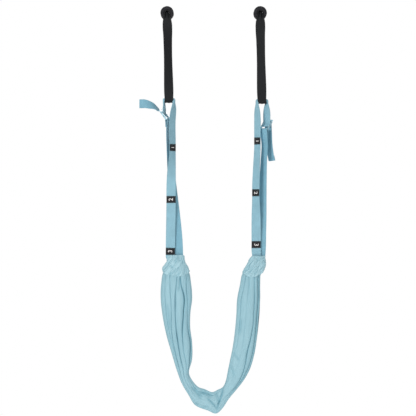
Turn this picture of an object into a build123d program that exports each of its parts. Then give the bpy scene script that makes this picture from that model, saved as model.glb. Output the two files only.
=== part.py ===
"""Door-hung stretch sling: two webbing drops on foam door anchors, carrying one gathered cloth sling.

Millimetres. X runs along the door, -Y faces the user, Z is up. The origin is midway between the
two anchors.

Each drop has a black door strap, threaded through the bore of its anchor roller, and a blue webbing loop
that hangs in the strap, is closed by a ladder buckle and passes through the gathered hem of the sling.
"""

import os

from build123d import *
from math import asin, cos, degrees, radians, sin

# ---- driving dimensions -------------------------------------------------------------------------
webbing_width = 38.0
webbing_thickness = 1.8
strap_thickness = 2.4

anchor_spacing = 380.0
roller_diameter = 54.0
roller_length = 70.0
roller_edge_radius = 6.0
core_diameter = 22.0
core_wall = 2.0
core_clearance = 0.15  # radial, between the core tube and the foam
bunch_width = 15.0  # the strap folded up inside the core
bunch_thickness = 5.0

link_drop = 362.6  # anchor axis to the axis where the blue loop hangs in the black one
link_shift = 7.5  # how far each strap leans towards +X on its way down
strap_foot_width = 28.0  # the strap where the blue webbing gathers it
strap_face_gap = 2.6  # between the roller's end faces and the strap's plies
strap_bend_radius = 6.0  # outside, where the strap leaves the core
overlap_length = 80.0  # the sewn joint in the strap's rear ply
overlap_drop = 120.0  # anchor axis to the top of that joint
overlap_inset = 1.0

crown_radius = 4.5  # the blue webbing rolled up inside the black loop
cradle_clearance = 6.0  # room for the crown to rock in the strap's foot
crown_end_gap = 0.4
leg_offset = 19.8  # link axis to each leg of the blue loop, along X
leg_shoulder_drop = 22.4  # where a leg has opened to half its width
leg_shoulder_width = 24.0
leg_lap = 57.0  # how far the legs run on behind the webbing that slides on them
layer_gap = 0.5  # between webbing layers that slide on each other

buckle_bar_radius = 1.8
buckle_pitch = 17.0  # bar to bar
buckle_rail_width = 3.0
buckle_rail_depth = 7.0
buckle_side_play = 1.0
buckle_lip_length = 9.0
buckle_lip_thickness = 2.4
wrap_clearance = 0.2  # webbing wrapped round a bar

label_height = 29.0
label_thickness = 0.7
label_margin = 8.0  # the ply lies flat this far above and below each label

hem_drop = 1032.5  # anchor axis to the axis of the webbing inside the gathered hem
hem_roll_radius = 6.5
hem_clearance = 0.5
hem_side_wall = 2.0
hem_top_rise = 32.0
hem_bottom_drop = 32.0
hem_depth_top = 48.0
hem_depth_bottom = 54.0
hem_swing = 25.0  # the mouth lets the webbing tilt this far each way
ply_spread = 1.6  # front and rear plies at the hem, either side of the hem axis

tail_fold_gap = 0.05  # between a tail and its end folded back

# Each drop. Places along X are offsets from its own link. A ply's station is (x, y, turn about Z).
SIDES = {
    "left": {
        "sign": -1,
        "buckle_drop": 56.0,  # link to the buckle's middle bar
        "leg_turn": 70.0,
        "ply_top_drop": 67.4,  # link to the top of the front ply
        "label_drop": 119.0,  # from there to the middle of the first label
        "label_rise": 59.5,  # hem axis to the middle of the last label
        "labels": [(14.5, -4.0, 50.0), (8.5, -8.0, 0.0), (6.0, -4.0, 0.0)],
        "between_labels": [(10.2, -9.5, 25.0), (7.3, -6.0, 0.0)],
        "front_hem_x": 6.0,
        # the rear ply's stations start with their share of the way from the buckle's foot bar to the hem
        "rear": [
            (0.10, -5.5, 4.0, 74.0),
            (0.19, -0.5, 6.0, 62.0),
            (0.30, 5.5, 8.0, 48.0),
            (0.43, 12.0, 9.0, 32.0),
            (0.55, 19.5, 7.0, 20.0),
            (0.67, 27.5, 5.0, 9.0),
            (0.83, 36.5, 3.5, 0.0),
        ],
        "rear_hem_x": 40.8,
        "gather_reach": (16.5, 22.7),  # how far the gather's foot reaches past the hem's two ends
    },
    "right": {
        "sign": 1,
        "buckle_drop": 97.2,
        "leg_turn": -45.0,
        "ply_top_drop": 67.4,
        "label_drop": 92.0,
        "label_rise": 86.5,
        "labels": [(-18.5, -4.0, -50.0), (-24.7, -7.0, -40.0), (-23.5, -4.5, 0.0)],
        "between_labels": [(-22.0, -6.0, -45.0), (-24.0, -6.4, -18.0)],
        "front_hem_x": -22.9,
        "rear": [
            (0.11, 11.0, -4.0, -50.0),
            (0.23, 8.0, 2.0, -50.0),
            (0.38, 4.8, 5.0, -42.0),
            (0.51, 2.5, 6.0, -32.0),
            (0.65, 0.5, 5.0, -18.0),
            (0.76, -1.5, 4.0, -7.0),
            (0.85, -2.3, 3.5, 0.0),
        ],
        "rear_hem_x": -2.6,
        "gather_reach": (31.5, 2.0),
    },
}

# Down the left arm of the sling, across its bottom and up the right arm:
# the share of the way from the middle to a link, x from there, drop below the hem, width, depth.
SLING_SPINE = [
    (-1.0, 27.5, 67.5, 116.0, 56.0),
    (-1.0, 29.5, 142.5, 125.0, 58.0),
    (-1.0, 31.0, 217.5, 112.0, 54.0),
    (-1.0, 40.5, 297.5, 96.0, 48.0),
    (-1.0, 52.5, 372.5, 80.0, 44.0),
    (-1.0, 65.0, 442.5, 60.0, 42.0),
    (-0.5, -5.5, 510.5, 62.0, 40.0),
    (-0.25, -10.0, 554.5, 78.0, 36.0),
    (0.0, -7.5, 569.5, 84.0, 34.0),
    (0.25, -12.0, 544.5, 78.0, 38.0),
    (0.5, -26.5, 495.5, 72.0, 42.0),
    (1.0, -94.5, 432.5, 80.0, 44.0),
    (1.0, -74.5, 357.5, 92.0, 46.0),
    (1.0, -63.0, 277.5, 92.0, 48.0),
    (1.0, -55.0, 192.5, 94.0, 50.0),
    (1.0, -46.5, 107.5, 86.0, 50.0),
    (1.0, -36.5, 57.5, 78.0, 50.0),
]

# The loose ends of the webbing, from the buckle's top bar: x, y, z, turn, roll.
LEFT_TAIL = [
    (-14.3, 5.0, 5.7, 70.0, 0.0),
    (-26.8, 6.7, 16.7, 80.0, 20.0),
    (-40.8, 6.7, 25.7, 90.0, 42.0),
    (-57.8, 6.7, 31.7, 90.0, 58.0),
]
LEFT_TAIL_FLAT = [(-76.8, 6.7, 36.2, 90.0, 70.0), (-96.8, 6.7, 36.2, 90.0, 70.0)]
# The right one hangs down: x, y, z, turn.
RIGHT_TAIL = [(4.0, 4.8, -43.6, -46.0), (6.5, 8.3, -88.6, -48.0), (12.0, 11.3, -128.6, -50.0)]
RIGHT_TAIL_FLAT = [(13.5, 11.8, -136.6, -50.0), (17.5, 13.3, -156.6, -50.0)]


# ---- helpers ------------------------------------------------------------------------------------
def along_width(turn):
    """Unit vector across webbing whose face is turned about Z."""
    return Vector(cos(radians(turn)), sin(radians(turn)), 0)


def behind(turn):
    """Unit vector out of the rear face of webbing turned about Z."""
    return Vector(-sin(radians(turn)), cos(radians(turn)), 0)


def slat(x, y, z, turn, width=webbing_width, thickness=webbing_thickness):
    """A level cross-section of upright webbing."""
    plane = Plane(origin=(x, y, z), x_dir=along_width(turn), z_dir=(0, 0, 1))
    return plane * Rectangle(width, thickness)


def ribbon(stations, thickness=webbing_thickness):
    """Upright webbing through stations (x, y, z, turn) or (x, y, z, turn, width)."""
    return loft([slat(*s[:4], *s[4:], thickness=thickness) for s in stations], ruled=True)


def rod(x0, x1, y, z, radius):
    """A round bar along X."""
    return Pos((x0 + x1) / 2, y, z) * Rot(0, 90, 0) * Cylinder(radius, abs(x1 - x0))


def link_x(side):
    return side["sign"] * anchor_spacing / 2 + link_shift


def label_z(side, number):
    """The labels stand evenly between the first and the last."""
    first = -link_drop - side["ply_top_drop"] - side["label_drop"]
    last = -hem_drop + side["label_rise"]
    return first + number * (last - first) / (len(side["labels"]) - 1)


def front_stations(side):
    """The front ply, from its top to the hem: flat behind each label, turning between them."""
    x0 = link_x(side)
    flat = label_height / 2 + label_margin
    x, y, turn = side["labels"][0]
    stations = [(x0 + x, y, -link_drop - side["ply_top_drop"], turn)]
    for number, (x, y, turn) in enumerate(side["labels"]):
        z = label_z(side, number)
        stations += [(x0 + x, y, z + flat, turn), (x0 + x, y, z - flat, turn)]
        if number < len(side["between_labels"]):
            x, y, turn = side["between_labels"][number]
            stations.append((x0 + x, y, (z + label_z(side, number + 1)) / 2, turn))
    return stations + [(x0 + side["front_hem_x"], -ply_spread, -hem_drop + 2 * hem_roll_radius, 0.0)]


def rear_stations(side):
    """The rear ply, from below the buckle to where it enters the hem."""
    x0 = link_x(side)
    top, foot = bar_axis(side, FOOT_BAR).Z, -hem_drop
    stations = [(x0 + x, y, top + share * (foot - top), turn) for share, x, y, turn in side["rear"]]
    return stations + [(x0 + side["rear_hem_x"], ply_spread, foot + 2 * hem_roll_radius, 0.0)]


def hem_ends(side):
    """Where the webbing in the hem starts and ends, along X."""
    half = webbing_width / 2
    return link_x(side) + side["front_hem_x"] - half, link_x(side) + side["rear_hem_x"] + half


def buckle_z(side):
    return -link_drop - side["buckle_drop"]


# ---- door anchor --------------------------------------------------------------------------------
def roller(side):
    bore = core_diameter / 2 + core_clearance
    body = Cylinder(roller_diameter / 2, roller_length)
    body = fillet(body.edges().filter_by(GeomType.CIRCLE), roller_edge_radius)
    body -= Cylinder(bore, roller_length + 2)
    return Pos(side["sign"] * anchor_spacing / 2, 0, 0) * Rot(90, 0, 0) * body


def core(side):
    tube = Cylinder(core_diameter / 2, roller_length)
    tube -= Cylinder(core_diameter / 2 - core_wall, roller_length + 2)
    tube = chamfer(tube.edges().filter_by(GeomType.CIRCLE), core_wall / 4)
    return Pos(side["sign"] * anchor_spacing / 2, 0, 0) * Rot(90, 0, 0) * tube


# ---- door strap ---------------------------------------------------------------------------------
cradle_radius = crown_radius + cradle_clearance  # inside the strap's foot
strap_corner_y = roller_length / 2 + strap_face_gap - (strap_bend_radius - strap_thickness)
strap_corner_z = strap_thickness / 2 - strap_bend_radius


def strap_hull(grow):
    """The strap's closed side profile in Y and Z, grown from its inside face."""
    top, foot = strap_bend_radius - strap_thickness + grow, cradle_radius + grow
    with BuildSketch(Plane.YZ) as profile:
        with Locations((-strap_corner_y, strap_corner_z), (strap_corner_y, strap_corner_z)):
            Circle(top)
        with Locations((0, -link_drop)):
            Circle(foot)
        make_hull()
    return profile.sketch


def strap_layer(side, inner, outer, half_width):
    """A closed band of webbing between two grown profiles, around the drop's centre line."""
    ring = strap_hull(outer) - strap_hull(inner)
    middle = side["sign"] * anchor_spacing / 2 + link_shift / 2
    return Pos(middle - half_width, 0, 0) * extrude(ring, 2 * half_width, dir=(1, 0, 0))


def strap_outline(side):
    """The strap's front outline: narrow in the core, full width below it, gathered at its foot."""
    x0 = side["sign"] * anchor_spacing / 2
    half_bunch, half, half_foot = bunch_width / 2, webbing_width / 2, strap_foot_width / 2
    heights = [
        (2 * strap_bend_radius, half_bunch),
        (strap_corner_z - strap_bend_radius / 4, half_bunch),
        (-roller_diameter / 2, half),
        (-link_drop + 2.2 * strap_foot_width, half),
        (-link_drop + strap_foot_width, half_foot),
        (-link_drop - 2 * cradle_radius, half_foot),
    ]
    right = [(x0 - link_shift * z / link_drop + w, z) for z, w in heights]
    left = [(x0 - link_shift * z / link_drop - w, z) for z, w in reversed(heights)]
    outline = make_face(Polyline(*right, *left, close=True).edges())
    return Rot(90, 0, 0) * extrude(outline, roller_length, both=True)


def door_strap(side):
    reach = webbing_width / 2 + link_shift
    band = strap_layer(side, 0, strap_thickness, reach) & strap_outline(side)
    bunch = Box(bunch_width, 2 * strap_corner_y, bunch_thickness)
    return band + Pos(side["sign"] * anchor_spacing / 2, 0, 0) * bunch


def strap_overlap(side):
    """The strap's sewn joint: its end laid over the rear ply."""
    reach = webbing_width / 2 + link_shift
    layer = strap_layer(side, strap_thickness, 2 * strap_thickness, reach)
    shift = link_shift * (overlap_drop + overlap_length / 2) / link_drop
    window = Box(webbing_width - 2 * overlap_inset, roller_length, overlap_length)
    middle_z = -overlap_drop - overlap_length / 2
    return layer & Pos(side["sign"] * anchor_spacing / 2 + shift, roller_length / 2, middle_z) * window


# ---- upper part of the blue loop ----------------------------------------------------------------
def crown(side):
    half = strap_foot_width / 2 + 2 * crown_end_gap
    return rod(link_x(side) - half, link_x(side) + half, 0, -link_drop, crown_radius)


def leg_shoulder(side, towards):
    """A leg's top: the end of the roll, then webbing that opens out below it."""
    x = link_x(side) + towards * leg_offset
    start = link_x(side) + towards * (strap_foot_width / 2 + 3 * crown_end_gap)
    end = x + towards * webbing_thickness / 2
    upright = side["sign"] * -90.0
    stations = [
        (x, 0, -link_drop, upright, 2 * crown_radius),
        (x, 0, -link_drop - leg_shoulder_drop, upright, leg_shoulder_width),
    ]
    return rod(start, end, 0, -link_drop, crown_radius), stations


def front_leg(side):
    """The inner leg; it ends behind the front ply, which slides on it."""
    x, y, z, turn = front_stations(side)[0]
    back = behind(turn) * (webbing_thickness + layer_gap)
    roll, stations = leg_shoulder(side, -side["sign"])
    half_way_x = (stations[-1][0] + x + back.X) / 2
    half_way_turn = (turn + side["sign"] * -90.0) / 2
    half_way_width = (webbing_width + leg_shoulder_width) / 2
    stations += [
        (half_way_x, (y + back.Y) / 2, -link_drop - 1.5 * leg_shoulder_drop, half_way_turn, half_way_width),
        (x + back.X, y + back.Y, z + leg_lap / 3, turn, webbing_width),
        (x + back.X, y + back.Y, z - leg_lap, turn, webbing_width),
    ]
    return roll + ribbon(stations)


def rear_leg(side):
    """The outer leg; it runs down through the buckle."""
    roll, stations = leg_shoulder(side, side["sign"])
    x = stations[0][0]
    half_way_turn = (side["leg_turn"] + side["sign"] * -90.0) / 2
    half_way_width = (webbing_width + leg_shoulder_width) / 2
    stations += [
        (x, 0, -link_drop - 1.35 * leg_shoulder_drop, half_way_turn, half_way_width),
        (x, 0, -link_drop - 1.7 * leg_shoulder_drop, side["leg_turn"], webbing_width),
        (x, 0, buckle_z(side) - buckle_pitch - leg_lap, side["leg_turn"], webbing_width),
    ]
    return roll + ribbon(stations)


# ---- buckle -------------------------------------------------------------------------------------
# What webbing wrapped round a bar needs, from the bar's axis out.
bar_room_radius = buckle_bar_radius + wrap_clearance + webbing_thickness + layer_gap
# The frame tilts so that webbing wrapped on one bar clears the leg that runs straight through.
bar_step_y = 2 * (bar_room_radius + webbing_thickness / 2)
buckle_tilt = degrees(asin(bar_step_y / buckle_pitch))
bar_step_z = buckle_pitch * cos(radians(buckle_tilt))
# Bars in the buckle's own frame, where the rear leg is the plane y = 0 and -y faces away from the loop.
TOP_BAR = (-bar_step_y / 2, bar_step_z)
MIDDLE_BAR = (bar_step_y / 2, 0.0)
FOOT_BAR = (1.5 * bar_step_y, -bar_step_z)


def buckle_place(side):
    leg_x = link_x(side) + side["sign"] * leg_offset
    return Pos(leg_x, 0, buckle_z(side)) * Rot(0, 0, side["leg_turn"] + side["sign"] * 180)


def bar_axis(side, bar):
    """A bar's centre, in the part's frame."""
    return (buckle_place(side) * Pos(0, *bar)).position


def buckle(side):
    inner = webbing_width + 2 * buckle_side_play
    rail_shape = Box(buckle_rail_width, buckle_rail_depth, 2 * (buckle_pitch + bar_room_radius))
    rail_shape = Pos(0, MIDDLE_BAR[0], 0) * Rot(buckle_tilt, 0, 0) * rail_shape
    rail_shape = fillet(rail_shape.edges().filter_by(Axis.X), buckle_rail_depth / 3)
    rail_x = (inner + buckle_rail_width) / 2
    frame = Pos(-rail_x, 0, 0) * rail_shape + Pos(rail_x, 0, 0) * rail_shape
    for bar in (TOP_BAR, MIDDLE_BAR, FOOT_BAR):
        frame += rod(-rail_x, rail_x, *bar, buckle_bar_radius)
    return buckle_place(side) * frame


def buckle_lip(side):
    """The lip that the thumb lifts to let webbing run back: it stands off the buckle's two rails."""
    inner = webbing_width + 2 * buckle_side_play
    top = buckle_pitch + bar_room_radius
    plate = Box(inner + 2 * buckle_rail_width, buckle_lip_thickness, buckle_lip_length)
    plate = fillet(plate.edges().filter_by(Axis.Y), buckle_rail_width)
    plate = Pos(0, 0, top + buckle_lip_length / 2) * plate
    return buckle_place(side) * Pos(0, MIDDLE_BAR[0], 0) * Rot(buckle_tilt, 0, 0) * plate


def wrap(bar):
    """Webbing round a buckle bar, in the buckle's frame."""
    inside = buckle_bar_radius + wrap_clearance
    half = webbing_width / 2
    return rod(-half, half, *bar, inside + webbing_thickness) - rod(-half - 1, half + 1, *bar, inside)


# ---- lower part of the blue loop ----------------------------------------------------------------
def hem_roll(side):
    return rod(*hem_ends(side), 0, -hem_drop, hem_roll_radius)


def front_webbing(side):
    stations = front_stations(side)
    x, y, z, turn = stations[-1]
    return ribbon(stations + [(x, y, -hem_drop, turn)]) - hem_roll(side)


def rear_webbing(side):
    """The rear ply, from the sewn end under the buckle to the hem."""
    top = bar_axis(side, FOOT_BAR)
    stations = rear_stations(side)
    x, y, z, turn = stations[-1]
    start_z = top.Z - buckle_bar_radius - wrap_clearance - webbing_thickness
    first = (top.X, top.Y, start_z + webbing_thickness / 2, side["leg_turn"])
    ply = ribbon([first] + stations + [(x, y, -hem_drop, turn)])
    return ply - hem_roll(side) - buckle_place(side) * wrap(FOOT_BAR)


def sewn_end(side):
    """The end of the rear ply, taken round the buckle's foot bar."""
    return buckle_place(side) * wrap(FOOT_BAR)


def label(side, number):
    """A woven size tab on the face of the front ply."""
    x, y, turn = side["labels"][number]
    out = behind(turn) * -(webbing_thickness + label_thickness) / 2
    tab = Box(webbing_width, label_thickness, label_height)
    return Pos(link_x(side) + x + out.X, y + out.Y, label_z(side, number)) * Rot(0, 0, turn) * tab


# ---- tails --------------------------------------------------------------------------------------
def loose_slat(x, y, z, turn, roll):
    """A cross-section of webbing that leaves sideways: its width is turned about Z, then rolled."""
    t, r = radians(turn), radians(roll)
    across = Vector(cos(t) * cos(r), sin(t) * cos(r), sin(r))
    along = Vector(-sin(t), cos(t), 0)
    section = Rectangle(webbing_width, webbing_thickness)
    return Plane(origin=(x, y, z), x_dir=across, z_dir=along) * section


def bar_room(side):
    """The space that the top bar needs inside the webbing wrapped round it."""
    room = rod(-webbing_width, webbing_width, *TOP_BAR, buckle_bar_radius + wrap_clearance)
    return buckle_place(side) * room


def off_bar(side):
    """From the top bar's axis to the middle of webbing that lies on the bar's outer side."""
    return behind(side["leg_turn"]) * (buckle_bar_radius + wrap_clearance + webbing_thickness / 2)


def left_tail(side):
    start = off_bar(side)
    stations = [(start.X, start.Y, 0.0, side["leg_turn"], 0.0)] + LEFT_TAIL + LEFT_TAIL_FLAT
    flap = loft([loose_slat(*station) for station in stations], ruled=True)
    return Pos(bar_axis(side, TOP_BAR)) * flap + buckle_place(side) * wrap(TOP_BAR) - bar_room(side)


def left_tail_fold(side):
    """The tail's end folded back on itself."""
    roll = radians(LEFT_TAIL_FLAT[0][4])
    step = webbing_thickness + tail_fold_gap
    shift = Pos(0, sin(roll) * step, -cos(roll) * step)
    fold = loft([loose_slat(*station) for station in LEFT_TAIL_FLAT], ruled=True)
    return Pos(bar_axis(side, TOP_BAR)) * shift * fold


def right_tail(side):
    start = off_bar(side)
    stations = [(start.X, start.Y, -webbing_thickness, side["leg_turn"])] + RIGHT_TAIL + RIGHT_TAIL_FLAT
    flap = Pos(bar_axis(side, TOP_BAR)) * ribbon(stations)
    return flap + buckle_place(side) * wrap(TOP_BAR) - bar_room(side)


def right_tail_fold(side):
    out = behind(RIGHT_TAIL_FLAT[0][3]) * (webbing_thickness + tail_fold_gap)
    return Pos(bar_axis(side, TOP_BAR)) * Pos(out) * ribbon(RIGHT_TAIL_FLAT)


# ---- sling --------------------------------------------------------------------------------------
def gather_foot(side):
    """Where the gather's foot starts and ends, along X."""
    (left, right), (reach_left, reach_right) = hem_ends(side), side["gather_reach"]
    return left - reach_left, right + reach_right


def gathered_hem(side):
    """The sling's end tunnel bunched on the webbing, with a mouth that lets the webbing tilt."""
    left, right = hem_ends(side)
    sections = []
    for ends, z, depth in (
        ((left - hem_side_wall, right + hem_side_wall), -hem_drop + hem_top_rise, hem_depth_top),
        (gather_foot(side), -hem_drop - hem_bottom_drop, hem_depth_bottom),
    ):
        sections.append(Pos(sum(ends) / 2, 0, z) * RectangleRounded(ends[1] - ends[0], depth, depth / 4))
    block = loft(sections, ruled=True)
    cavity_left, cavity_right = left - hem_clearance, right + hem_clearance
    ply = ply_spread + webbing_thickness / 2
    rise = hem_top_rise + 1
    throat = ply / cos(radians(hem_swing)) + hem_clearance
    mouth_half = throat + rise * sin(radians(hem_swing)) / cos(radians(hem_swing))
    mouth = make_face(
        Polyline((-throat, 0), (throat, 0), (mouth_half, rise), (-mouth_half, rise), close=True).edges()
    )
    mouth = extrude(Plane.YZ * mouth, cavity_right - cavity_left, dir=(1, 0, 0))
    cavity = rod(cavity_left, cavity_right, 0, -hem_drop, hem_roll_radius + hem_clearance)
    return block - cavity - Pos(cavity_left, 0, -hem_drop) * mouth


def sling_spine():
    """The spine's stations in the part's frame: x, z, width, depth."""
    return [
        (link_shift + share * anchor_spacing / 2 + x, -hem_drop - drop, width, depth)
        for share, x, drop, width, depth in SLING_SPINE
    ]


def sling_section(spine, index):
    """An oval section of the bundled cloth, square to the line through its neighbours."""
    x, z, width, depth = spine[index]
    x0, z0 = spine[max(index - 1, 0)][:2]
    x1, z1 = spine[min(index + 1, len(spine) - 1)][:2]
    plane = Plane(origin=(x, 0, z), x_dir=(0, 1, 0), z_dir=(x1 - x0, 0, z1 - z0))
    return plane * Ellipse(depth / 2, width / 2)


def sling_cloth():
    """The bundled cloth between the two hems."""
    spine = sling_spine()
    sections = [sling_section(spine, index) for index in range(len(spine))]
    bundle = loft(sections, ruled=True)
    for side, section in ((SIDES["left"], sections[0]), (SIDES["right"], sections[-1])):
        left, right = gather_foot(side)
        place = Pos((left + right) / 2, 0, -hem_drop - hem_bottom_drop)
        foot = place * Ellipse((right - left) / 2, hem_depth_bottom / 2)
        bundle += loft([foot, section], ruled=True)
    return bundle


# ---- everything ---------------------------------------------------------------------------------
def all_nodes():
    nodes = {"sling_cloth": sling_cloth()}
    makers = {
        "anchor_roller": roller,
        "anchor_core": core,
        "door_strap": door_strap,
        "strap_overlap": strap_overlap,
        "crown": crown,
        "front_leg": front_leg,
        "rear_leg": rear_leg,
        "buckle": buckle,
        "buckle_lip": buckle_lip,
        "sewn_end": sewn_end,
        "front_webbing": front_webbing,
        "rear_webbing": rear_webbing,
        "hem_roll": hem_roll,
        "gathered_hem": gathered_hem,
    }
    for name, side in SIDES.items():
        for piece, make in makers.items():
            nodes[f"{name}_{piece}"] = make(side)
        for number in range(3):
            nodes[f"{name}_label_{number + 1}"] = label(side, number)
    nodes["left_tail"] = left_tail(SIDES["left"])
    nodes["left_tail_fold"] = left_tail_fold(SIDES["left"])
    nodes["right_tail"] = right_tail(SIDES["right"])
    nodes["right_tail_fold"] = right_tail_fold(SIDES["right"])
    return nodes


os.makedirs("parts", exist_ok=True)
for node, shape in all_nodes().items():
    export_step(shape, f"parts/{node}.step")
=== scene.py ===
"""The looks of a door-hung stretch sling: foam anchors, webbing straps, ladder buckles, gathered cloth."""

import math

import bpy
import numpy as np
from mathutils import Matrix, Vector, noise

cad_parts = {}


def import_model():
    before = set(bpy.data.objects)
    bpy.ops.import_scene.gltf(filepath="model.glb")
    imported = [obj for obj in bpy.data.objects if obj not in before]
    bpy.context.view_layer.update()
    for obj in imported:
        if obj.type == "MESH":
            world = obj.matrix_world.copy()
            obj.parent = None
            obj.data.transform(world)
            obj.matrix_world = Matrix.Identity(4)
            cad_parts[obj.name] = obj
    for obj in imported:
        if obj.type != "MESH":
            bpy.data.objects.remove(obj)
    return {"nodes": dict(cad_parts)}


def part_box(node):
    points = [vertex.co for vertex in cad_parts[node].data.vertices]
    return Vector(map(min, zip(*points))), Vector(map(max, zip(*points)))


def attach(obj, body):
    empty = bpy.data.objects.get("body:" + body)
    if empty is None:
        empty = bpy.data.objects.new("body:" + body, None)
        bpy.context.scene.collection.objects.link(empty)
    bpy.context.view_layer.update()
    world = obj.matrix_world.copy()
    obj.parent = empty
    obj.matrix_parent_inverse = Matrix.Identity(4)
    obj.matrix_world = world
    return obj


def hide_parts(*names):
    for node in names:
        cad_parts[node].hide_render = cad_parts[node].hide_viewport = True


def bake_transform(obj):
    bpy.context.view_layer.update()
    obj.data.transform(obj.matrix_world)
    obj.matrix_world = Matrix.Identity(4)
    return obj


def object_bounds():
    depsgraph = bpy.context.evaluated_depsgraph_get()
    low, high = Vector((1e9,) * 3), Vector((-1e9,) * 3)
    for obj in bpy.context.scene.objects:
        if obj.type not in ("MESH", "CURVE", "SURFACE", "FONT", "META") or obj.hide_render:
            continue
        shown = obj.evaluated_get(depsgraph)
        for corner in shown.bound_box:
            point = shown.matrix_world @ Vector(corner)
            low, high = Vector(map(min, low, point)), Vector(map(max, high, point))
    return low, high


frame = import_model()
CAD_BOX = [list(corner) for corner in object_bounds()]

bl_info = {
    "name": "Door Stretch Sling",
    "version": (1, 0, 0),
    "blender": (4, 5, 0),
    "location": "3D View > Sidebar > Sling",
    "description": "Builds a stretching sling that hangs from two foam door anchors",
    "category": "Add Mesh",
}

MM = 0.001
SIDES = {"left": -1, "right": 1}


def middle(node):
    """The middle of a CAD node's box."""
    low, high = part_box(node)
    return (low + high) / 2


LINK = {side: middle(f"{side}_crown") for side in SIDES}
ANCHOR = {side: middle(f"{side}_anchor_roller") for side in SIDES}
HEM = {side: middle(f"{side}_hem_roll") for side in SIDES}


# ---- sizes and colours a user would change --------------------------------------------------------
def length(name, description, millimetres):
    """A length that a user can change, given in millimetres."""
    return bpy.props.FloatProperty(
        name=name, description=description, default=millimetres * MM, unit="LENGTH"
    )


def colour(name, description, *rgb):
    """A colour that a user can change."""
    return bpy.props.FloatVectorProperty(
        name=name, description=description, default=rgb, size=3, min=0, max=1, subtype="COLOR"
    )


class SlingSizes(bpy.types.PropertyGroup):
    """Sizes of the soft pieces."""

    webbing_width: length("Webbing width", "Width of all the webbing", 38)
    webbing_thickness: length("Webbing thickness", "Thickness of the light webbing", 1.8)
    strap_thickness: length("Strap thickness", "Thickness of the dark door straps", 2.2)
    cloth_thickness: length("Cloth thickness", "Thickness of the sling's cloth", 0.7)
    stitch_length: length("Stitch length", "Length of one sewn stitch", 3.0)
    thread_width: length("Thread width", "Thickness of the sewing thread", 0.7)


class SlingColours(bpy.types.PropertyGroup):
    """Colours of the finishes."""

    cloth: colour("Cloth", "Sling cloth on the top of its folds", 0.385, 0.60, 0.67)
    # Painted shade: the cloth's colour deep in its folds, darker and richer than on the fold tops.
    cloth_deep: colour("Cloth in folds", "Sling cloth deep in its folds", 0.14, 0.35, 0.43)
    webbing: colour("Webbing", "Light webbing", 0.262, 0.474, 0.568)
    strap: colour("Door strap", "Dark webbing of the door straps", 0.012, 0.013, 0.0145)
    foam: colour("Foam", "Foam rollers", 0.014, 0.014, 0.016)
    buckle: colour("Buckle", "Moulded buckles", 0.42, 0.66, 0.76)
    label: colour("Tab", "Woven tabs", 0.012, 0.013, 0.015)
    numeral: colour("Numeral", "Numerals on the tabs", 0.85, 0.83, 0.82)


def sizes():
    return bpy.context.scene.sling_sizes


def colours():
    return bpy.context.scene.sling_colours


# ---- shader maths -----------------------------------------------------------------------------------
class Value:
    """A shader value that plain arithmetic works on."""

    def __init__(self, net, socket):
        self.net, self.socket = net, socket

    def maths(self, operation, *others):
        """Blender's own maths node on this value and others, in that order."""
        return self.net.maths(operation, self, *others)

    def __add__(self, other):
        return self.maths("ADD", other)

    def __sub__(self, other):
        return self.maths("SUBTRACT", other)

    def __rsub__(self, other):
        return self.net.maths("SUBTRACT", other, self)

    def __mul__(self, other):
        return self.maths("MULTIPLY", other)

    def __truediv__(self, other):
        return self.maths("DIVIDE", other)

    __radd__, __rmul__ = __add__, __mul__

    def sine(self):
        return self.maths("SINE")

    def absolute(self):
        return self.maths("ABSOLUTE")

    def floor(self):
        return self.maths("FLOOR")

    def clipped(self, low, high):
        """0 below low, 1 above high, straight between."""
        inputs = {"Value": self, "From Min": low, "From Max": high}
        return self.net.add("ShaderNodeMapRange", {"clamp": True}, inputs)


class Net:
    """One material's nodes."""

    def __init__(self, name):
        self.material = bpy.data.materials.new(name)
        self.material.use_nodes = True
        self.tree = self.material.node_tree
        self.shader = self.tree.nodes["Principled BSDF"]

    def add(self, kind, settings=None, inputs=None, out=0):
        node = self.tree.nodes.new(kind)
        for key, value in (settings or {}).items():
            setattr(node, key, value)
        for key, value in (inputs or {}).items():
            self.join(node.inputs[key], value)
        return Value(self, node.outputs[out])

    def join(self, socket, value):
        if isinstance(value, Value):
            self.tree.links.new(value.socket, socket)
        elif socket.type == "RGBA":
            socket.default_value = (*value[:3], 1.0)
        else:
            socket.default_value = value

    def maths(self, operation, *values):
        return self.add("ShaderNodeMath", {"operation": operation}, dict(enumerate(values)))

    def place(self):
        return self.add("ShaderNodeTexCoord", out="Object")

    def attribute(self, name):
        return self.add("ShaderNodeAttribute", {"attribute_name": name}, out="Fac")

    def noise(self, at, scale, detail=3.0, roughness=0.5):
        inputs = {"Vector": at, "Scale": scale, "Detail": detail, "Roughness": roughness}
        return self.add("ShaderNodeTexNoise", None, inputs, out="Fac")

    def stretched_noise(self, at, scales, detail, roughness=0.5):
        """Noise with its own scale along each axis."""
        stretched = self.add("ShaderNodeMapping", None, {"Vector": at, "Scale": scales})
        return self.noise(stretched, 1.0, detail, roughness)

    def mix(self, share, low, high):
        inputs = {"Factor": share, 6: low, 7: high}
        return self.add("ShaderNodeMix", {"data_type": "RGBA"}, inputs, out=2)

    def bump(self, height, distance, strength, over=None):
        """A bump, laid over another if one is given."""
        inputs = {"Height": height, "Distance": distance, "Strength": strength}
        if over is not None:
            inputs["Normal"] = over
        return self.add("ShaderNodeBump", None, inputs)

    def finish(self, **shader):
        """Sets the shader's own sockets, named in plain words, and hands back the material."""
        for key, value in shader.items():
            self.join(self.shader.inputs[key.replace("_", " ").title().replace("Ior", "IOR")], value)
        return self.material


def shade(rgb, *factors):
    """A colour made lighter or darker, by one factor or by one for each channel."""
    return tuple(min(1.0, channel * factor) for channel, factor in zip(rgb, factors * 3))


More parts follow.
